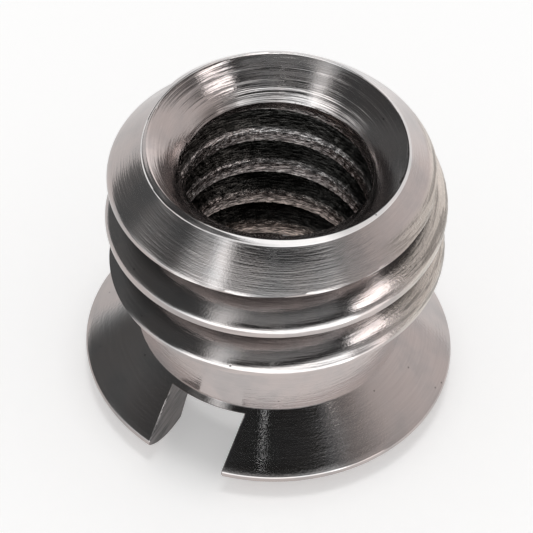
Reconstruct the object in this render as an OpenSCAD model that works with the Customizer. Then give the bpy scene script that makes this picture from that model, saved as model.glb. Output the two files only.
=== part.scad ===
// Reducer bushing: one turned steel piece with a coarse outside thread, a bored and
// threaded hole right through, a countersunk top, a thread relief neck and a flared
// flange with a driver slot across it. Sizes in millimetres, +Z up the bore,
// z = 0 at the flange's foot, the slot along Y.

/* [Outside thread] */
// Diameter over the crests of the outside thread
thread_d = 9.525; // [9.2:0.005:9.9]
// Rise of the outside thread in one turn
thread_pitch = 1.5875; // [1.5:0.0125:1.7]
// Radial depth of the outside thread
thread_depth = 0.92; // [0.8:0.01:0.95]
// Width of the flat left on each outside crest
crest_w = 0.2; // [0.16:0.01:0.24]
// Angle round the axis where the groove comes in from the neck
thread_start = 225; // [0:5:355]

/* [Hole] */
// Diameter of the hole at the crests of its inside thread
bore_d = 5.2; // [4.9:0.05:5.4]
// Diameter of the hole's mouth at the flange's foot
foot_mouth_d = 6.6; // [6.2:0.05:6.8]
// Full angle of the mouth at the flange's foot
foot_mouth_angle = 60; // [50:1:90]

/* [Top] */
// Height of the whole piece
height = 8.76; // [8.4:0.02:9.4]
// Diameter of the countersink at the rim
rim_d = 7.28; // [7:0.02:7.3]
// Full angle of the countersink
rim_angle = 94; // [82:1:110]
// Diameter where the outside chamfer meets the top
nose_d = 7.44; // [7.4:0.02:7.8]
// Height of the outside chamfer
nose_h = 1.12; // [0.9:0.02:1.3]

/* [Neck] */
// Diameter of the plain neck under the thread
neck_d = 7.44; // [7.2:0.02:7.5]
// Height of the neck's lower end, where the flange begins
neck_low = 2.1; // [2:0.02:2.4]
// Height of the neck's upper end, where the thread begins
neck_high = 4.55; // [4.2:0.05:4.8]

/* [Flange] */
// Diameter of the flange over its edge
flange_d = 10.3; // [10:0.05:10.8]
// Height of the thin straight land on the flange's edge
edge_land = 0.15; // [0.08:0.01:0.25]
// Diameter of the flat ring the flange stands on
foot_d = 7; // [6.9:0.05:7.3]
// Radius of the rounded underside, from the flat ring out to the edge
under_r = 2.39; // [2.2:0.01:2.8]

/* [Driver slot] */
// Width of the slot across the flange
slot_w = 2.24; // [1.6:0.02:2.6]
// Depth of the slot from the flange's foot
slot_depth = 1.97; // [1.6:0.01:1.99]

/* [Hidden] */
$fn = 96;
// Facets of the groove cutter in one turn
groove_steps = 40;
// How far the cutter stands out past the crests, and cutters run past faces
past = 0.08;
thread_r = thread_d / 2;
bore_r = bore_d / 2;
neck_r = neck_d / 2;
foot_r = foot_d / 2;
edge_r = flange_d / 2;
edge_low = under_r - sqrt(pow(under_r, 2) - pow(edge_r - foot_r, 2));
edge_high = edge_low + edge_land;
rim_depth = (rim_d / 2 - bore_r) / tan(rim_angle / 2);
mouth_depth = (foot_mouth_d / 2 - bore_r) / tan(foot_mouth_angle / 2);
flank = tan(30);
root_w = thread_pitch - crest_w - 2 * thread_depth * flank;
groove_r0 = thread_r - thread_depth;
groove_r1 = thread_r + past;
mouth_w = root_w + 2 * (groove_r1 - groove_r0) * flank;
groove_z0 = neck_high - 0.6 * thread_pitch;
groove_turns = (height - groove_z0) / thread_pitch + 0.6;
groove_n = ceil(groove_turns * groove_steps);

// Half of the turned outline: shank, neck and flange, with the hole's two mouths
module half_section() {
  difference() {
    polygon([
      [bore_r, 0],
      [edge_r, 0],
      [edge_r, edge_high],
      [neck_r, neck_low],
      [neck_r, neck_high],
      [thread_r, neck_high],
      [thread_r, height - nose_h],
      [nose_d / 2, height],
      [rim_d / 2, height],
      [bore_r, height - rim_depth]
    ]);
    underside();
    polygon([
      [bore_r - past, -past],
      [foot_mouth_d / 2 + past * tan(foot_mouth_angle / 2), -past],
      [bore_r, mouth_depth],
      [bore_r - past, mouth_depth]
    ]);
  }
}

// What the rounded underside takes off the flange's lower corner
module underside() {
  difference() {
    translate([foot_r, -past])
      square([edge_r - foot_r + past, under_r + past]);
    translate([foot_r, under_r])
      circle(r = under_r);
    translate([foot_r - past, -past])
      square([past, past]);
  }
}

// Four corners of the groove's cross-section at step i along the helix
function groove_ring(i) =
  let(
    a = thread_start + 360 * i / groove_steps,
    z = groove_z0 + thread_pitch * i / groove_steps
  )
  [
    [groove_r1 * cos(a), groove_r1 * sin(a), z - mouth_w / 2],
    [groove_r0 * cos(a), groove_r0 * sin(a), z - root_w / 2],
    [groove_r0 * cos(a), groove_r0 * sin(a), z + root_w / 2],
    [groove_r1 * cos(a), groove_r1 * sin(a), z + mouth_w / 2]
  ];

// The right-hand thread groove, swept up the helix and out through the chamfer
module thread_groove() {
  points = [for (i = [0:groove_n]) each groove_ring(i)];
  sides = [
    for (i = [0:groove_n - 1], k = [0:3])
      let(a = 4 * i + k, b = 4 * i + (k + 1) % 4)
      each [[a, b + 4, b], [a, a + 4, b + 4]]
  ];
  first = [[0, 1, 2], [0, 2, 3]];
  e = 4 * groove_n;
  last = [[e, e + 2, e + 1], [e, e + 3, e + 2]];
  polyhedron(points = points, faces = concat(sides, first, last));
}

// The driver slot, cut right across the flange
module driver_slot() {
  translate([-slot_w / 2, -edge_r - past, -past])
    cube([slot_w, flange_d + 2 * past, slot_depth + past]);
}

// The whole turned piece
module bushing() {
  color([0.62, 0.6, 0.59])
    difference() {
      rotate_extrude()
        half_section();
      thread_groove();
      driver_slot();
    }
}

bushing();
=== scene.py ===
# %% [markdown]
# A reducer bushing, as one turned surface
#
# The real object is a small steel bushing, about 10 mm across. It was turned from one bar, so the whole
# piece is a single skin: up the outside, over the rim, down the hole and round under the flange. The CAD
# model gives its sizes and its place. This lesson builds the skin again as fine grids of numpy points,
# with both screw threads cut as true helices and every edge a little worn, and then gives it bare steel,
# a pale floor and soft light.

# %% Load the frame
import math

import bpy
import bmesh
import numpy as np
from mathutils import Matrix, Vector


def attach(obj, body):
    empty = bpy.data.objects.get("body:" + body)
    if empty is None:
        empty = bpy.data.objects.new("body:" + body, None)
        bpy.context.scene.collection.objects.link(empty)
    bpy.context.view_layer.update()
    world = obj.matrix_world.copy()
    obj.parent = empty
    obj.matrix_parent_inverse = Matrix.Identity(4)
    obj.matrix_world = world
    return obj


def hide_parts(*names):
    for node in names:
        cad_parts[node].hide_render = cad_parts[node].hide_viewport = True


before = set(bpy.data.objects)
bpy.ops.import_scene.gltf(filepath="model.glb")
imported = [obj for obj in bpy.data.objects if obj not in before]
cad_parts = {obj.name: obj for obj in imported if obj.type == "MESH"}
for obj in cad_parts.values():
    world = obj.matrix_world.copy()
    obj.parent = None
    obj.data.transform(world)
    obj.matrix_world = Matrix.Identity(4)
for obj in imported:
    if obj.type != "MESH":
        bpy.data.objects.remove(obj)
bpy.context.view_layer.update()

# %% [markdown]
# The sizes
#
# Everything here is in millimetres, with z = 0 at the flat ring that the flange stands on and the slot
# running along Y. The values are those of the CAD source. The outside thread is the common three-eighths
# inch tripod thread, and the inside one is the quarter inch thread, so their pitches are 25.4 / 16 and
# 25.4 / 20.

# %% Sizes in millimetres
MM = 0.001
height = 8.76
thread_r = 9.525 / 2
thread_pitch = 25.4 / 16
thread_depth = 0.92
crest_w = 0.2
bore_r = 2.6
bore_pitch = 25.4 / 20
bore_depth = 0.575
bore_crest_w = 0.38
rim_r = 3.64
rim_depth = (rim_r - bore_r) / math.tan(math.radians(47))
nose_r = 3.72
nose_h = 1.12
neck_r = 3.72
neck_low = 2.1
neck_high = 4.55
edge_r = 5.15
edge_land = 0.15
foot_r = 3.5
under_r = 2.39
mouth_r = 3.3
mouth_slope = math.tan(math.radians(30))
mouth_depth = (mouth_r - bore_r) / mouth_slope
slot_half = 1.12
slot_top = 1.97
edge_low = under_r - math.sqrt(under_r ** 2 - (edge_r - foot_r) ** 2)
edge_high = edge_low + edge_land
skirt_slope = (edge_r - neck_r) / (neck_low - edge_high)
print("flange edge from", round(edge_low, 3), "to", round(edge_high, 3), "mm above the foot")

# %% [markdown]
# Soft corners and wear
#
# A lathe tool never leaves a perfectly sharp corner, and a mathematically sharp one catches no light. Where
# two surfaces meet, the smaller (or larger) of two radii is taken with a rounded switch-over instead of a
# hard one. Wear isn't the same all round: it is steered by how far an angle faces a given side. On one side
# the crests were torn by the threading tool, and uneven waves of a few hundredths of a millimetre stand for
# that.

# %% Rounded switches and wear


def soft_min(a, b, width):
    """The smaller of a and b, less half of how far a hyperbola of that width stays off their crossing."""
    return 0.5 * (a + b - np.sqrt((a - b) ** 2 + width ** 2))


def soft_max(a, b, width):
    """The larger of a and b, with the same rounded crossing."""
    return 0.5 * (a + b + np.sqrt((a - b) ** 2 + width ** 2))


def ease(value, low, high):
    """0 up to low, 1 from high on, and 3 t squared less 2 t cubed between them."""
    t = np.clip((value - low) / (high - low), 0.0, 1.0)
    return t * t * (3.0 - 2.0 * t)


def facing(phi, side, sharpness):
    """Half of one plus the cosine of the angle between phi and a side in degrees, raised to a power."""
    return (0.5 + 0.5 * np.cos(phi - math.radians(side))) ** sharpness


def tear(phi, z):
    """Three sines round the axis whose counts per turn share no factor, each leaning with height."""
    waves = np.sin(61 * phi + 9.0 * z) + 0.8 * np.sin(97 * phi - 13.0 * z + 1.0)
    return (waves + 0.6 * np.sin(143 * phi + 21.0 * z)) / 2.4


print("soft corner of two equal radii is off by", soft_max(1.0, 1.0, 0.04) - 1.0)

# %% [markdown]
# Two threads as radius functions
#
# A screw thread can be made by sweeping a tooth along a helix, or by asking, for every angle and height, how
# far that point is from the nearest crest. The second way is used here, because the chamfer, the countersink
# and the thread then meet by a simple minimum or maximum of radii. A 60 degree thread drops 1 mm in radius
# for every 0.577 mm along the axis. The upper flank is a little rounded towards its worn crest, the lower one
# is straight. A threading tool cuts its first turn shallow, so on the left, as the camera sees it, the groove
# fades out on the chamfer: a straight slope leads there from the top crest to the rim.

# %% Radius of the outside
flank = math.tan(math.radians(30))
groove_angle = math.radians(225)
groove_z = neck_high - 0.6 * thread_pitch
crest_z = groove_z - thread_pitch * groove_angle / math.tau + 1.5 * thread_pitch
camera_side = -64.8
torn_side = 45.0
worn_side = camera_side + 22
low_worn_side = camera_side + 28
left_side = camera_side - 60
right_side = camera_side + 95
upper_slope, upper_curve = 1.25, 0.475
torn_depth = 0.05


def above_crest(phi, z, start, pitch):
    """Height above the nearest crest of a right-hand helix that passes start at angle 0."""
    turn = (z - start - pitch * phi / math.tau) / pitch
    return pitch * (turn - np.floor(turn + 0.5 + 1e-9))


def crest_wear(phi, z):
    """How widely the upper edge of a crest is rounded: more on the worn side, most on the lowest crest."""
    wear = 0.07 + 0.07 * facing(phi, worn_side, 12)
    return wear + 0.12 * facing(phi, low_worn_side, 14) * ease(-z, -5.7, -5.2)


def flank_drop(phi, z):
    """Run past the crest's edge over the flank's slope, with a quadratic term on the upper flank."""
    above = above_crest(phi, z, crest_z, thread_pitch)
    run = np.abs(above) - crest_w / 2
    upper = soft_max(run * (upper_slope + upper_curve * np.maximum(run, 0.0)), 0.0, crest_wear(phi, z))
    lower = soft_max(run / flank, 0.0, 0.035)
    return lower + (upper - lower) * ease(above, -crest_w / 2, crest_w / 2)


def thread_drop(phi, z):
    """Drop along the flanks, or on the left a straight slope to the rim, held between tears and root."""
    top_crest = crest_z + thread_pitch * (1 + phi / math.tau)
    top_edge = top_crest + crest_w / 2
    slope = (thread_r - nose_r) / (height - top_edge)
    lead_in = soft_max((z - top_edge) * slope, 0.0, crest_wear(phi, z))
    on_left = ease(np.cos(phi - math.radians(left_side)), 0.0, 0.5) * (z > top_crest)
    drop = flank_drop(phi, z)
    drop = drop + on_left * (lead_in - drop)
    torn = torn_depth * facing(phi, torn_side, 6) * np.maximum(tear(phi, z), 0.0)
    return soft_max(soft_min(drop, thread_depth, 0.06), torn, 0.02)


def chamfer_radius(phi, z):
    """The chamfer's cone, drawn in by up to 0.09 mm at the top on the right and curved over at the front."""
    cone = nose_r + (height - z) * (thread_r - nose_r) / nose_h
    cone = cone - 0.09 * facing(phi, right_side, 3) * ease(z, 7.7, 8.76)
    return cone - 0.09 * facing(phi, camera_side - 5, 6) * np.maximum(z - 8.2, 0.0) ** 2


def outer_radius(phi, z):
    """Crest radius less the thread's drop, and never outside the chamfer."""
    return soft_min(thread_r - thread_drop(phi, z), chamfer_radius(phi, z), 0.03)


on_crest, in_groove = outer_radius(0.0, crest_z), outer_radius(math.pi, crest_z)
print("outside radius on a crest and in a groove:", on_crest, in_groove)

# %% [markdown]
# The hole
#
# Inside, the thread gains radius instead of losing it. The countersink on top isn't a straight cone but is
# hollowed a little, from 36 degrees at its foot to 55 at the rim. It sits a few hundredths of a millimetre
# off the axis, so that the rim is broader at the front and narrower on the left. The crests of this small
# thread are rough, as a tap leaves them, and its first turn is shallow too: it begins lower on the right.

# %% Radius of the hole
back_angle, back_crest_z = math.radians(115.2), 6.45
bore_crest_z = back_crest_z - bore_pitch * back_angle / math.tau
sink_slope, sink_hollow = 0.72, 0.363


def countersink_radius(phi, z):
    """Radius that grows with the height above the foot and with its square, plus the shift off the axis."""
    up = z - height + rim_depth
    off_axis = 0.015 * np.sin(phi) - 0.062 * np.cos(phi) - 0.13 * facing(phi, camera_side, 8)
    off_axis = off_axis + 0.035 * facing(phi, left_side, 6)
    return bore_r + sink_slope * up + sink_hollow * np.maximum(up, 0.0) ** 2 + off_axis


def inner_radius(phi, z):
    """Bore radius plus the gain down the flanks, and never inside the countersink or the lower mouth."""
    above = above_crest(phi, z, bore_crest_z, bore_pitch)
    run = (np.abs(above) - bore_crest_w / 2) / flank
    worn = 0.03 + 0.08 * ease(above, -bore_crest_w / 2, bore_crest_w / 2)
    late = ease(np.cos(phi - math.radians(right_side)), 0.2, 0.7)
    gain = soft_min(soft_max(run, 0.0, worn), bore_depth, 0.06)
    gain = gain * ease(-z, -8.25 + 0.5 * late, -7.7 + 0.35 * late)
    gain = gain + 0.025 * np.maximum(tear(phi, z), 0.0) * ease(z, 2.6, 3.2) * ease(-z, -7.5, -7.1)
    mouth = bore_r + (mouth_depth - z) * mouth_slope
    return soft_max(soft_max(bore_r + gain, countersink_radius(phi, z), 0.05), mouth, 0.03)


on_bore_crest, at_rim = inner_radius(0.0, bore_crest_z), inner_radius(0.0, height)
print("hole radius on a crest and at the rim:", on_bore_crest, at_rim)

# %% [markdown]
# Grids that follow the helix
#
# If the rows of the grid were level rings, the crest edges would cross them and come out as small steps.
# So each row climbs by one pitch in a turn, like the thread itself, and is held between the lowest and the
# highest ring of its patch. After a full turn a row meets the row one pitch above it, and welding the points
# closes the seam.

# %% Thread grids
columns = 336
around = np.linspace(0.0, math.tau, columns + 1)


def points(phi, r, z):
    """Points in millimetres at angle phi, radius r and height z."""
    phi, r, z = np.broadcast_arrays(phi, r, z)
    return np.stack([r * np.cos(phi), r * np.sin(phi), z], axis=-1)


def helical_patch(radius, start, pitch, low, high, rows_in_pitch):
    """Rows at start + k pitch / rows, each raised by pitch per turn and held between low and high."""
    step = pitch / rows_in_pitch
    first = math.floor((low - pitch - start) / step)
    last = math.ceil((np.max(high) - start) / step)
    rows = start + step * np.arange(first, last + 1)
    z = np.clip(rows[:, None] + pitch * around / math.tau, low, high)
    return points(around, radius(around, z), z)


hole_low = 2.5
rim_fall = 0.012 + 0.13 * facing(around, camera_side - 75, 6)
rim_round = 0.034 * (1.0 - 0.85 * facing(around, camera_side - 70, 4))
rim_inside = height - rim_round
outside_thread = helical_patch(outer_radius, crest_z, thread_pitch, neck_high, height - rim_fall, 36)
inside_thread = helical_patch(inner_radius, bore_crest_z, bore_pitch, hole_low, rim_inside, 22)[::-1]
print("thread grids:", outside_thread.shape[:2], inside_thread.shape[:2])

# %% [markdown]
# The rim
#
# Between chamfer and countersink a narrow rim is left. Its inner edge is rounded over, except on the left,
# where it is almost sharp. There the deburring tool also took more off outside, so that behind a narrow flat
# lip the rim slopes up to its inner edge.

# %% Rim
lip = 0.3
share = np.array([0.0, 0.1, 0.26, 0.34, 0.6, 0.8, 0.92, 1.0])[:, None]
round_over = np.array([0.0, 0.0, 0.0, 0.0, 0.0, 0.15, 0.44, 1.0])[:, None] * rim_round
climb = np.clip((share - lip) / (1.0 - lip), 0.0, 1.0)
rim_out = outer_radius(around, height - rim_fall)
rim_in = inner_radius(around, rim_inside)
rim_z = height - rim_fall * (1.0 - climb) - round_over
rim = points(around, rim_out + share * (rim_in - rim_out), rim_z)
rim_width = rim_out - rim_in
print("rim width from", np.min(rim_width).round(3), "to", np.max(rim_width).round(3), "mm")

# %% [markdown]
# Columns that lean to the slot
#
# The driver slot has two flat, parallel walls, so in the flange the columns of the grid can't stay on fixed
# angles. Each wall's angle is found from its distance to the axis: the sine of the angle from the Y axis is
# the slot's half width over the radius. In the hole the radius itself depends on the angle, through the
# thread, so the angle is worked out a few times over until it stands still.

# %% Angles of the slot's walls
slot_columns = 16
quarter = columns // 4
slot_ends = (math.radians(90), math.radians(270))


def row_radius(phi, z, fixed):
    """The fixed radius of a turned row, or the hole's radius where no fixed one is given."""
    return np.where(np.isnan(fixed), inner_radius(phi, z), fixed)


def wall_angle(end, side, z, fixed, half):
    """Angle at which a row crosses the wall at distance half from the slot's middle plane."""
    lean = np.full(np.shape(z), 0.3)
    for _ in range(14):
        lean = np.arcsin(half / row_radius(end + side * lean, z, fixed))
    return end + side * lean


def leaning_columns(z, fixed):
    """Angles of all columns of one ring, spread evenly between the four walls."""
    near = [wall_angle(end, side, z, fixed, slot_half) for end in slot_ends for side in (-1, 1)]
    marks = [middle + side * slot_columns for middle in (quarter, 3 * quarter) for side in (-1, 1)]
    marks = [marks[-1] - columns] + marks + [marks[0] + columns]
    near = [near[-1] - math.tau] + near + [near[0] + math.tau]
    return np.interp(np.arange(columns + 1), marks, near)


slot_ring_r = neck_r + (neck_low - slot_top) * skirt_slope
outer_lean = leaning_columns(np.array(slot_top), np.array(slot_ring_r))
inner_lean = leaning_columns(np.array(slot_top), np.array(np.nan))
wall_degrees = math.degrees(outer_lean[quarter + slot_columns])
print("slot wall angle at the ceiling's outer edge:", round(wall_degrees, 2))

# %% [markdown]
# Neck, shoulder and the lower end of the hole
#
# The neck is a plain relief between thread and flange. Its rows run from the slot's ceiling up the last bit
# of the flange's cone, into the sharp corner, up the neck and out under the thread. On the way the columns
# straighten from the slot's leaning angles to even ones. The lowest part of the hole does the same inside.

# %% Neck and lower hole
neck_rows = np.array([
    (slot_ring_r, slot_top), (neck_r, neck_low), (neck_r, 2.3), (neck_r, 2.6), (neck_r, 3.1), (neck_r, 3.7),
    (neck_r, 4.3), (3.724, 4.43), (3.74, 4.5), (3.775, 4.54), (3.82, neck_high),
])
straight = np.clip((neck_rows[:, 1] - slot_top) / 1.1, 0.0, 1.0)[:, None]
neck_phi = (1 - straight) * outer_lean + straight * around
neck = points(neck_phi, neck_rows[:, :1], neck_rows[:, 1:])
shoulder = np.stack([neck[-1], outside_thread[0]])
hole_z = np.linspace(hole_low, slot_top, 11)[:, None]
turn_in = (hole_low - hole_z) / (hole_low - slot_top)
hole_phi = (1 - turn_in) * around + turn_in * inner_lean
lower_hole = points(hole_phi, inner_radius(hole_phi, hole_z), hole_z)
print("neck rows:", len(neck), "lower hole rows:", len(lower_hole))

# %% [markdown]
# The slotted flange
#
# Between the two slots the skin takes the long way round: down the hole, out along the foot, up the rounded
# underside, over the thin edge and up the cone. In the slot it takes the short way, straight across the
# ceiling. Both ways get the same number of rows, so each flat wall is simply the sheet between the short
# way's points and the long way's points. Where a wall meets the skin, the last column stands back by a few
# hundredths of a millimetre, which leaves the small bevel of a deburred edge.

# %% Flange, slot walls and ceiling
arc = np.linspace(0.0, math.asin((edge_r - 0.03 - foot_r) / under_r), 12)
hole_rows = np.stack([np.full(16, np.nan), np.linspace(slot_top, 0.02, 16)], axis=-1)
foot_rows = np.array([(3.33, 0.0), (3.42, 0.0)])
under_rows = np.stack([foot_r + under_r * np.sin(arc), under_r - under_r * np.cos(arc)], axis=-1)
edge_rows = np.array([
    (edge_r - 0.008, edge_low + 0.012), (edge_r, edge_low + 0.04), (edge_r, edge_high - 0.04),
    (edge_r - 0.01, edge_high - 0.008), (edge_r - 0.035, edge_high + 0.02),
])
up = np.linspace(0.0, 1.0, 11)[1:, None]
skirt_rows = (1 - up) * edge_rows[-1] + up * np.array([slot_ring_r, slot_top])
long_way = np.concatenate([hole_rows, foot_rows, under_rows, edge_rows, skirt_rows])
long_r, long_z = long_way[:, 0], long_way[:, 1]
count = len(long_way)
bevel = 0.035 * np.clip(np.minimum(np.arange(count), count - 1 - np.arange(count)) / 3, 0.0, 1.0)


def flange_half(start, end):
    """The long way from one slot wall, at angle start, round to the next, at angle end."""
    a = wall_angle(start, 1, long_z, long_r, slot_half + bevel)
    b = wall_angle(end, -1, long_z, long_r, slot_half + bevel)
    share = np.linspace(0.0, 1.0, columns // 2 - 2 * slot_columns + 1)
    phi = a[:, None] + share * (b - a)[:, None]
    return points(phi, row_radius(phi, long_z[:, None], long_r[:, None]), long_z[:, None])


def wall_outline(end, side):
    """The long way's outline in the wall's own plane, drawn in by the bevel towards the wall's middle."""
    phi = wall_angle(end, side, long_z, long_r, slot_half)
    edge = points(phi, row_radius(phi, long_z, long_r), long_z)
    middle = np.stack([edge[:, 0], np.full(count, 3.75 * math.sin(end)), np.full(count, 1.0)], axis=-1)
    inward = middle - edge
    return edge + bevel[:, None] * inward / np.linalg.norm(inward, axis=1, keepdims=True)


def slot_ceiling(lean_in, lean_out):
    """Straight lines from the hole's edge to the skirt, with as many rows as the long way."""
    inner = points(lean_in, inner_radius(lean_in, slot_top), slot_top)
    outer = points(lean_out, slot_ring_r, slot_top)
    share = np.linspace(0.0, 1.0, count)[:, None, None]
    return (1 - share) * inner + share * outer


def slot_sector(k):
    """Ceiling of the slot's end k with a wall on each side, as one sheet."""
    middle = quarter + 2 * k * quarter
    span = slice(middle - slot_columns, middle + slot_columns + 1)
    ceiling = slot_ceiling(inner_lean[span], outer_lean[span])
    fade = np.linspace(0.0, 1.0, 7)[None, :, None]
    left = (1 - fade) * wall_outline(slot_ends[k], -1)[:, None] + fade * ceiling[:, :1]
    right = (1 - fade) * ceiling[:, -1:] + fade * wall_outline(slot_ends[k], 1)[:, None]
    return np.concatenate([left, ceiling[:, 1:-1], right], axis=1)


sectors = [slot_sector(0), slot_sector(1)]
halves = [flange_half(slot_ends[0], slot_ends[1]), flange_half(slot_ends[1], slot_ends[0] + math.tau)]
flange = np.concatenate([sectors[0], halves[0], sectors[1], halves[1], sectors[0][:, :1]], axis=1)
print("flange grid:", flange.shape[:2])

# %% [markdown]
# One closed skin
#
# The patches share their border points exactly, so they can be put into one mesh and welded. Rows that were
# held at a patch's border fall onto the same points and vanish in the weld. A count of the edges then shows
# that the skin has no hole, and the sign of its volume shows that its faces point outwards.

# %% Weld the patches
weld_distance = 4e-7
sharp_angle = math.radians(32)


def quads(grid, offset):
    """Corner numbers of each grid cell, so that column direction times row direction points outwards."""
    rows, cols = grid.shape[:2]
    number = offset + np.arange(rows * cols).reshape(rows, cols)
    corners = [number[:-1, :-1], number[:-1, 1:], number[1:, 1:], number[1:, :-1]]
    return np.stack(corners, axis=-1).reshape(-1, 4)


def skin_object(name, patches):
    """One mesh object from several grids of points in millimetres, welded where they touch."""
    starts = np.concatenate([[0], np.cumsum([p.shape[0] * p.shape[1] for p in patches])])
    corners = np.concatenate([quads(p, s) for p, s in zip(patches, starts)])
    spots = np.concatenate([p.reshape(-1, 3) for p in patches]) * MM
    mesh = bpy.data.meshes.new(name)
    mesh.from_pydata(spots, [], corners)
    work = bmesh.new()
    work.from_mesh(mesh)
    bmesh.ops.remove_doubles(work, verts=work.verts, dist=weld_distance)
    open_edges = sum(len(e.link_faces) != 2 for e in work.edges)
    volume = work.calc_volume(signed=True) / MM ** 3
    print(name, "faces:", len(work.faces), "open edges:", open_edges, "mm3:", volume)
    work.to_mesh(mesh)
    work.free()
    mesh.polygons.foreach_set("use_smooth", np.ones(len(mesh.polygons), bool))
    mesh.set_sharp_from_angle(angle=sharp_angle)
    made = bpy.data.objects.new(name, mesh)
    bpy.context.scene.collection.objects.link(made)
    return made


sheets = [outside_thread, rim, inside_thread, lower_hole, flange, neck, shoulder]
bushing = skin_object("turned_bushing", sheets)
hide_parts("bushing")
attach(bushing, "root")

# %% [markdown]
# Sums of shader sockets
#
# A finish that follows the lathe needs arithmetic: the distance from the axis, the height, a mask for each
# turned face. In the shader editor that is a crowd of Math nodes. The small class below wraps a socket, so
# that a sum written in Python adds those nodes by itself. Every other kind of node comes from one method.

# %% A socket that can be added and multiplied


class Value:
    """An output socket; each operator on it adds one Math node that works out the result."""

    def __init__(self, graph, socket):
        self.graph, self.socket = graph, socket

    def sum(self, operation, *terms):
        return self.graph.node("ShaderNodeMath", {"operation": operation}, dict(enumerate(terms)))

    def __add__(self, other):
        return self.sum("ADD", self, other)

    def __sub__(self, other):
        return self.sum("SUBTRACT", self, other)

    def __rsub__(self, other):
        return self.sum("SUBTRACT", other, self)

    def __mul__(self, other):
        return self.sum("MULTIPLY", self, other)

    def __truediv__(self, other):
        return self.sum("DIVIDE", self, other)

    def __pow__(self, other):
        return self.sum("POWER", self, other)

    def __abs__(self):
        return self.sum("ABSOLUTE", self)

    __radd__, __rmul__ = __add__, __mul__

    def between(self, low, high, start=0.0, end=1.0):
        """Smooth step from start at low to end at high."""
        limits = {"From Min": low, "From Max": high, "To Min": start, "To Max": end}
        settings = {"interpolation_type": "SMOOTHSTEP"}
        return self.graph.node("ShaderNodeMapRange", settings, {"Value": self, **limits})


class Graph:
    """The empty node tree of one material or of the world."""

    def __init__(self, owner):
        owner.use_nodes = True
        self.tree = owner.node_tree
        self.tree.nodes.clear()

    def node(self, kind, settings, sockets, output=0):
        """Add a node: first its settings, a ramp's stops among them, then its sockets' values or links."""
        made = self.tree.nodes.new(kind)
        for key, setting in settings.items():
            if key == "stops":
                ramp = made.color_ramp
                while len(ramp.elements) < len(setting):
                    ramp.elements.new(0.5)
                for stop, (place, level) in zip(ramp.elements, setting):
                    stop.position, stop.color = place, (level, level, level, 1.0)
            else:
                setattr(made, key, setting)
        for key, value in sockets.items():
            if isinstance(value, Value):
                self.tree.links.new(value.socket, made.inputs[key])
            else:
                made.inputs[key].default_value = value
        return Value(self, made.outputs[output]) if made.outputs else None


def blend_colour(graph, share, first, second):
    """Mix of two colours by a share from 0 to 1."""
    return graph.node("ShaderNodeMix", {"data_type": "RGBA"}, {0: share, 6: first, 7: second}, 2)


def place_in_mm(graph):
    """Object coordinates in millimetres: the vector, its x, y and z, and the distance from the axis."""
    spot = graph.node("ShaderNodeTexCoord", {}, {}, "Object")
    spot = graph.node("ShaderNodeVectorMath", {"operation": "SCALE"}, {0: spot, "Scale": 1000.0})
    x, y, z = (graph.node("ShaderNodeSeparateXYZ", {}, {0: spot}, k) for k in range(3))
    return spot, x, y, z, (x * x + y * y) ** 0.5


print("shader helpers ready")

# %% [markdown]
# Bare turned steel: where the faces are
#
# The real finish is bare metal straight from the lathe, and each face shows it differently: fine rings on the
# outside, coarse ones in the countersink, rough crests and near-black grooves in the small thread, mill marks
# in the slot. The faces could be told apart by several materials. Here soft masks do it, made from the
# height, the distance from the axis and the side, because the faces run into one another on the real part.

# %% Masks
steel = bpy.data.materials.new("turned_steel")
graph = Graph(steel)
spot, x, y, z, r = place_in_mm(graph)
cos_phi = x / r
sin_phi = y / r


def towards(side):
    """Cosine of the angle between a point's side and a side in degrees."""
    return cos_phi * math.cos(math.radians(side)) + sin_phi * math.sin(math.radians(side))


inside = r.between(3.62, 3.68, 1.0, 0.0) * z.between(2.3, 2.5)
countersink = inside * z.between(7.7, 7.8)
bore = inside * z.between(7.55, 7.7, 1.0, 0.0)
# Near black in the small thread's grooves.
near_black_grooves = bore * r.between(2.66, 2.76)
# Painted shade in the outside thread's grooves.
groove_shade = r.between(3.75, 3.8) * r.between(4.1, 4.5, 1.0, 0.0)
groove_shade = groove_shade * z.between(4.45, 4.6) * z.between(7.6, 7.9, 1.0, 0.0)
skirt = z.between(2.08, 2.12, 1.0, 0.0)
slot_face = z.between(1.96, 1.98, 1.0, 0.0) * abs(x).between(1.125, 1.15, 1.0, 0.0)
torn = r.between(4.1, 4.3) * z.between(4.4, 4.6) * towards(20.0).between(0.72, 0.93)
# Darker at the foot of the countersink on one side.
dark_sink_foot = countersink * towards(140.0).between(0.8, 0.96) * z.between(7.95, 8.15, 1.0, 0.0)
back_side = towards(camera_side + 180.0).between(0.2, 0.75)
# Painted highlight on the front of the rim, the side that faces the camera.
front_rim_highlight = z.between(8.73, 8.745) * towards(camera_side).between(0.82, 0.95)
print("masks ready")

# %% [markdown]
# Tool marks
#
# A turning tool leaves rings round the axis. They are a noise that changes fast with radius and height and
# slowly with angle, so its four coordinates are the radius, the height, and the cosine and sine of the angle.
# The last two make it close up after a full turn. Plain noise gives the grain and the faint cloudiness of
# metal that was handled, and noise stretched along the slot gives its mill marks. A few cells of a cell
# pattern give single pits, and a finer pattern gives small specks of dirt.

# %% Patterns


def rings(fine, along, detail):
    """Noise with fine changes per millimetre of radius and height, and along changes per turn."""
    vector = graph.node("ShaderNodeCombineXYZ", {}, {0: r * fine, 1: z * fine, 2: cos_phi * along})
    sockets = {"Vector": vector, "W": sin_phi * along, "Scale": 1.0, "Detail": detail, "Roughness": 0.6}
    return graph.node("ShaderNodeTexNoise", {"noise_dimensions": "4D"}, sockets)


def cloud(scale, detail, seed):
    """Plain noise with scale changes per millimetre."""
    sockets = {"Vector": spot, "W": seed, "Scale": scale, "Detail": detail, "Roughness": 0.55}
    return graph.node("ShaderNodeTexNoise", {"noise_dimensions": "4D"}, sockets)


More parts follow.
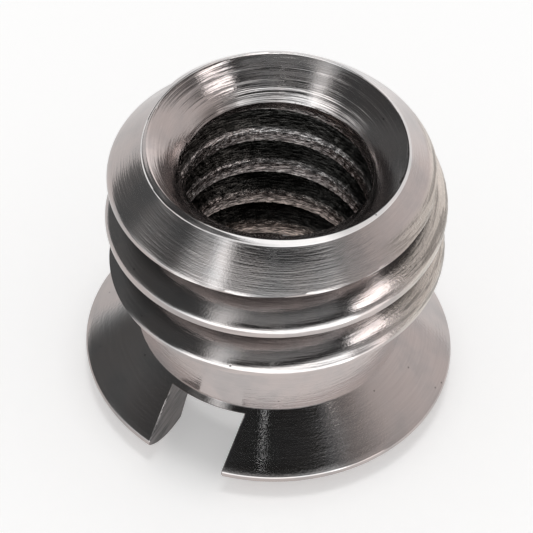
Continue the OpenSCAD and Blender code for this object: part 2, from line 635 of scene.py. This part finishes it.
def dots(scale, core, edge, rare, sure):
    """Round dots in those cells of a cell pattern whose random value lies above a limit."""
    sockets = {"Vector": spot, "Scale": scale}
    distance = graph.node("ShaderNodeTexVoronoi", {}, sockets, "Distance")
    drawn = graph.node("ShaderNodeTexVoronoi", {}, sockets, "Color")
    drawn = graph.node("ShaderNodeSeparateColor", {}, {0: drawn})
    return distance.between(core, edge, 1.0, 0.0) * drawn.between(rare, sure)


fine_rings = rings(18.0, 4.0, 2.0)
coarse_rings = rings(6.0, 1.6, 3.0)
sink_rings = rings(6.0, 0.15, 3.0)
streaks = rings(12.0, 2.5, 3.0)
# Tap marks on the small thread, for its bump, for darker spots and for painted glints on its crests.
tap_marks_and_glints = rings(20.0, 11.0, 2.0)
grain = cloud(15.0, 3.0, 1.0)
patches = cloud(0.9, 3.0, 2.0)
along_slot = (16.0, 0.8, 16.0)
mill_spot = graph.node("ShaderNodeVectorMath", {"operation": "MULTIPLY"}, {0: spot, 1: along_slot})
mill_lines = graph.node("ShaderNodeTexNoise", {}, {"Vector": mill_spot, "Scale": 1.0, "Detail": 2.0})
pits = dots(0.8, 0.03, 0.05, 0.78, 0.8)
specks = dots(2.6, 0.05, 0.09, 0.8, 0.84)
print("patterns ready")

# %% [markdown]
# How high the tool marks stand
#
# On the real part the rings, the grain and the pits are steps of a few thousandths of a millimetre. Faces as
# small as that would run into millions. A bump node tilts the shading instead, by a height that adds up the
# patterns, each as strong as the masks make it.

# %% Height of the tool marks
bump_depth = 0.000012
marks = fine_rings * (0.3 - 0.23 * skirt)
marks = marks + coarse_rings * (0.25 - 0.19 * skirt + 1.6 * torn)
marks = marks + sink_rings * (countersink * (0.6 + 1.9 * back_side))
marks = marks + tap_marks_and_glints * (2.8 * bore) + mill_lines * (1.2 * slot_face)
roughness_height = grain * (0.15 + bore * 0.8 + slot_face * 0.7 + torn * 1.4)
surface = marks + roughness_height - pits * 1.5
bump = graph.node("ShaderNodeBump", {}, {"Strength": 1.0, "Distance": bump_depth, "Height": surface})
print("bump ready")

# %% [markdown]
# The colour of the steel
#
# Bare steel is a slightly warm grey. It is darker in cloudy patches, in pits and specks, between the torn
# streaks and at the foot of the countersink on one side, and almost black in the small thread's grooves. Low
# in the hole it turns darker and browner. Painted shade darkens the outside thread's grooves, the slot's
# walls and the countersink's front and sides, and painted highlights brighten the front of the rim and specks
# on the small thread's crests. This could be painted on an image. Here one number, the shade, gathers what is
# brighter or darker and multiplies the metal's own colour, so that the finish stays sharp at any distance.

# %% Shade and colour
shade = 0.9 + 0.18 * fine_rings - 0.08 * patches.between(0.45, 0.7)
# Painted highlights: specks on the small thread's crests and the front of the rim are brightened.
shade = shade + bore * tap_marks_and_glints.between(0.52, 0.66, 0.25, 1.1) + 0.45 * front_rim_highlight
# Painted shade: the countersink is darker at the front and sides than at the back.
shade = shade - countersink * (0.1 - 0.12 * back_side) - 0.5 * dark_sink_foot
# Painted shade in the outside thread's grooves.
shade = shade - 0.58 * groove_shade - 0.1 * skirt
shade = shade * (1.0 - 0.85 * pits) * (1.0 - 0.6 * specks)
shade = shade * (1.0 - torn * streaks.between(0.4, 0.53, 1.0, 0.0) * 0.45)
# Painted shade: the slot's walls are darkened by 55 to 90 percent, varying with the mill marks.
shade = shade * (1.0 - slot_face * mill_lines.between(0.36, 0.62, 0.9, 0.55))
shade = shade * (1.0 - bore * tap_marks_and_glints.between(0.4, 0.58, 0.75, 0.0))
warm_steel = (0.56, 0.497, 0.48, 1.0)
grey_steel = (0.52, 0.482, 0.475, 1.0)
brown_depth = (0.36, 0.29, 0.25, 1.0)
torn_cream = (0.7, 0.65, 0.58, 1.0)
near_black_colour = (0.06, 0.056, 0.052, 1.0)
metal = blend_colour(graph, patches.between(0.35, 0.7), warm_steel, grey_steel)
metal = blend_colour(graph, bore * z.between(3.0, 5.5, 0.8, 0.0), metal, brown_depth)
metal = blend_colour(graph, torn * 0.6, metal, torn_cream)
metal = blend_colour(graph, near_black_grooves, metal, near_black_colour)
grey = graph.node("ShaderNodeCombineColor", {}, {0: shade, 1: shade, 2: shade})
multiply = {"data_type": "RGBA", "blend_type": "MULTIPLY"}
tone = graph.node("ShaderNodeMix", multiply, {0: 1.0, 6: metal, 7: grey}, 2)
print("colour ready")

# %% [markdown]
# The steel itself
#
# Light is smeared along the profile but hardly round it: that is what the anisotropy of the shader does,
# turned a quarter so that it runs across the rings. The flange is the smoothest. The small thread, the slot
# and the torn crests are rougher, because the tool left the metal matt there.

# %% Steel
gloss = 0.075 + 0.06 * patches + 0.05 * fine_rings
gloss = gloss + 0.11 * bore + 0.2 * slot_face + 0.11 * torn - 0.035 * skirt
shader = graph.node("ShaderNodeBsdfPrincipled", {}, {
    "Base Color": tone, "Metallic": 1.0, "Roughness": gloss, "Normal": bump,
    "Anisotropic": 0.5, "Anisotropic Rotation": 0.25})
graph.node("ShaderNodeOutputMaterial", {}, {"Surface": shader})
bushing.data.materials.append(steel)
print("steel nodes:", len(graph.tree.nodes))

# %% [markdown]
# Where the camera stands
#
# Lights for bright metal are placed by what the metal mirrors, and that depends on the camera. So the camera
# comes first. It looks down at about 47 degrees from a little to the right of the slot, from far enough away
# that the picture is almost without perspective.

# %% Camera
scene = bpy.context.scene
scene.view_settings.view_transform = "Standard"
azimuth, elevation, roll = math.radians(25.2), math.radians(47.45), math.radians(3.3)
distance, pixels_per_mm, frame_px = 230.0, 35.85, 533.0
aim_px = (274.05, 248.3)
level_back = Vector((math.sin(azimuth), -math.cos(azimuth), 0.0))
back = level_back * math.cos(elevation) + Vector((0.0, 0.0, math.sin(elevation)))
level = Vector((math.cos(azimuth), math.sin(azimuth), 0.0))
upright = back.cross(level)
right = math.cos(roll) * level + math.sin(roll) * upright
top = math.cos(roll) * upright - math.sin(roll) * level
aim_height, sensor_mm = 4.67, 36.0
middle = Vector((0.0, 0.0, aim_height))
middle += right * ((frame_px / 2 - aim_px[0]) / pixels_per_mm)
middle += top * ((aim_px[1] - frame_px / 2) / pixels_per_mm)
camera_data = bpy.data.cameras.new("camera")
camera = bpy.data.objects.new("camera", camera_data)
scene.collection.objects.link(camera)
scene.camera = camera
camera_data.sensor_width = sensor_mm
camera_data.lens = pixels_per_mm * distance * sensor_mm / frame_px
camera_data.clip_start, camera_data.clip_end = 0.001, 10.0
turn = Matrix((right, top, back)).transposed()
camera.matrix_world = Matrix.Translation((middle + back * distance) * MM) @ turn.to_4x4()
print("lens", round(camera_data.lens, 1))

# %% [markdown]
# Floor and daylight
#
# The bushing stands on pale paper. The paper gets its light from a plain white world and from one lamp high
# above, which also shines down the hole. For the camera and for reflections the world is brighter and the
# paper glows a little, so that it comes out white. On the left the paper's glow is weaker in reflections
# only:
# a painted shade that the metal mirrors.

# %% Floor, world and lamp
floor_mesh = bpy.data.meshes.new("floor")
half = 0.6
floor_corners = [(-half, -half, 0), (half, -half, 0), (half, half, 0), (-half, half, 0)]
floor_mesh.from_pydata(floor_corners, [], [(0, 1, 2, 3)])
floor = bpy.data.objects.new("floor", floor_mesh)
scene.collection.objects.link(floor)


def rays_seen(graph):
    """1 for rays of the camera, of mirrors and of glass, and 0 for the rays that light the floor."""
    kinds = ("Is Camera Ray", "Is Glossy Ray", "Is Transmission Ray")
    return sum(graph.node("ShaderNodeLightPath", {}, {}, kind) for kind in kinds).between(0.0, 1.0)


paper = bpy.data.materials.new("pale_paper")
graph = Graph(paper)
sheet = graph.node("ShaderNodeBsdfDiffuse", {}, {"Color": (0.93, 0.925, 0.92, 1.0)})
_, x, y, _, _ = place_in_mm(graph)
# Painted shade: the paper glows less on the left, for mirror rays only.
painted_shade_left = (x * math.cos(azimuth) + y * math.sin(azimuth)).between(-5.5, -3.0, 0.6, 0.0)
mirrored = graph.node("ShaderNodeLightPath", {}, {}, "Is Glossy Ray")
paper_glow = rays_seen(graph) * (1.0 - mirrored * painted_shade_left) * 0.3
paper_light = graph.node("ShaderNodeEmission", {}, {"Strength": paper_glow})
both = graph.node("ShaderNodeAddShader", {}, {0: sheet, 1: paper_light})
graph.node("ShaderNodeOutputMaterial", {}, {"Surface": both})
floor_mesh.materials.append(paper)

world = bpy.data.worlds.new("studio")
scene.world = world
graph = Graph(world)
strength = 0.55 + 0.45 * rays_seen(graph)
sky = graph.node("ShaderNodeBackground", {}, {"Color": (1.0, 1.0, 1.0, 1.0), "Strength": strength})
graph.node("ShaderNodeOutputWorld", {}, {"Surface": sky})

lamp_data = bpy.data.lights.new("overhead", "AREA")
lamp_data.shape, lamp_data.size = "DISK", 0.16
lamp_data.energy = 0.5
lamp = bpy.data.objects.new("overhead", lamp_data)
lamp.location = (0.0, 0.0, 0.5)
lamp.visible_glossy = False
scene.collection.objects.link(lamp)
print("floor, world and lamp ready")

# %% [markdown]
# A light tent
#
# Polished metal shows its surroundings, so a photographer puts it in a tent: white cloth with dark panels
# where the picture needs black. The tent here is a dome that only reflections see. Its glow depends on the
# direction, which is given as a bearing, 0 towards the camera and positive to the right, and a rise above
# the floor.

# %% Tent
tent_r = 0.3
turns, rises = np.meshgrid(np.linspace(0.0, math.tau, 97), np.radians(np.linspace(-4.0, 90.0, 40)))
dome = points(turns, tent_r * np.cos(rises), tent_r * np.sin(rises))
tent_mesh = bpy.data.meshes.new("tent")
tent_mesh.from_pydata(dome.reshape(-1, 3), [], quads(dome, 0))
tent = bpy.data.objects.new("tent", tent_mesh)
scene.collection.objects.link(tent)
tent.visible_camera = False
tent.visible_diffuse = False
tent.visible_shadow = False
tent.visible_transmission = False

cloth = bpy.data.materials.new("tent_cloth")
cloth.cycles.emission_sampling = "NONE"
graph = Graph(cloth)
spot = graph.node("ShaderNodeTexCoord", {}, {}, "Object")
spot = graph.node("ShaderNodeVectorMath", {"operation": "NORMALIZE"}, {0: spot})
x, y, z = (graph.node("ShaderNodeSeparateXYZ", {}, {0: spot}, k) for k in range(3))
ahead = x * math.sin(azimuth) - y * math.cos(azimuth)
aside = x * math.cos(azimuth) + y * math.sin(azimuth)
bearing = ahead.sum("ARCTAN2", aside, ahead) * math.degrees(1.0)
rise = z.sum("ARCSINE", z) * math.degrees(1.0)
print("tent faces:", len(tent_mesh.polygons))

# %% [markdown]
# The walls of the tent
#
# There are four walls, each with its own glow by rise, and they run into one another by bearing. The front
# is bright low down and dark around the camera, the left is dark, the right is a warm white and the back is
# white. Separate panels would do as well, but a ramp of stops is easier to move until the bands on the metal
# lie where they should.

# %% Glow of the walls
rise_low, rise_span, brightest = -10.0, 100.0, 5.0


def glow(stops):
    """Glow by rise, from stops of (degrees, level), drawn as a ramp from no light to the brightest level."""
    stops = [((angle - rise_low) / rise_span, level / brightest) for angle, level in stops]
    place = (rise - rise_low) / rise_span
    return graph.node("ShaderNodeValToRGB", {"stops": stops}, {0: place}) * brightest


def run_into(first, second, share):
    """First glow, replaced by the second as the share goes from 0 to 1."""
    return first + (second - first) * share


front_glow = glow([
    (0, 2.3), (26, 2.3), (31, 0.64), (38, 0.6), (42, 0.02), (51, 0.02), (56, 0.3), (62, 0.3), (67, 0.1),
])
left_glow = glow([
    (-4, 0.45), (3, 0.2), (9, 0.13), (24, 0.14), (34, 0.08), (54, 0.07), (62, 0.2), (85, 0.2),
])
left_glow = left_glow + bearing.between(-136.0, -118.0, 0.5, 0.0) * rise.between(-2.0, 8.0, 1.0, 0.0)
left_glow = left_glow + bearing.between(-100.0, -70.0) * rise.between(14.0, 24.0, 0.9, 0.0)
right_glow = glow([
    (0, 0.8), (24, 0.85), (31, 0.85), (35, 0.62), (40, 0.25), (44, 0.2), (56, 0.1), (85, 0.15),
])
right_glow = right_glow * bearing.between(50.0, 128.0, 0.6, 1.0)
back_glow = glow([(0, 0.9), (12, 1.5), (70, 1.5), (82, 0.5)])
walls = run_into(front_glow, right_glow, bearing.between(42.0, 50.0))
walls = run_into(walls, left_glow, bearing.between(-66.0, -44.0, 1.0, 0.0))
walls = run_into(walls, back_glow, bearing.between(126.0, 150.0))
walls = run_into(walls, back_glow, bearing.between(-174.0, -163.0, 1.0, 0.0))
print("walls ready")

# %% [markdown]
# The lamps of the tent
#
# A strip lamp crosses the upper left: it fades with the distance from a straight line on a level ceiling. A
# box lamp and a window stand on the right, one small lamp is close to the camera, and the crown of the tent
# is open to the light. All are added to the glow of the walls, and the right is warmer than the rest.

# %% Lamps
strip = abs(0.884 * aside / z + 0.4675 * ahead / z + 0.2026).between(0.0, 0.24, 1.0, 0.0)
strip = strip * ahead.between(-0.1, 0.1) * z.between(0.4, 0.5) * rise.between(46.0, 62.0, 1.0, 0.4)
side_box = bearing.between(36.0, 40.0) * bearing.between(66.0, 70.0, 1.0, 0.0)
side_box = side_box * rise.between(18.0, 22.0, 1.0, 0.0)
window = bearing.between(51.0, 54.0) * bearing.between(80.0, 84.0, 1.0, 0.0)
window = window * rise.between(42.0, 44.0) * rise.between(52.0, 54.0, 1.0, 0.0)
small_lamp = ((rise - 48.5) ** 2.0 + (bearing * 0.7) ** 2.0).between(0.3, 1.2, 1.0, 0.0)
crown = rise.between(78.0, 82.0)
lamps = strip * 1.05 + side_box * 1.2 + window * 2.8 + small_lamp * 3.0 + crown * 3.5
warmth = bearing.between(40.0, 70.0) * bearing.between(150.0, 170.0, 1.0, 0.0)
tint = blend_colour(graph, warmth, (0.925, 0.985, 1.0, 1.0), (1.0, 0.96, 0.945, 1.0))
lit = graph.node("ShaderNodeEmission", {}, {"Color": tint, "Strength": walls + lamps})
graph.node("ShaderNodeOutputMaterial", {}, {"Surface": lit})
tent_mesh.materials.append(cloth)
print("tent nodes:", len(graph.tree.nodes))
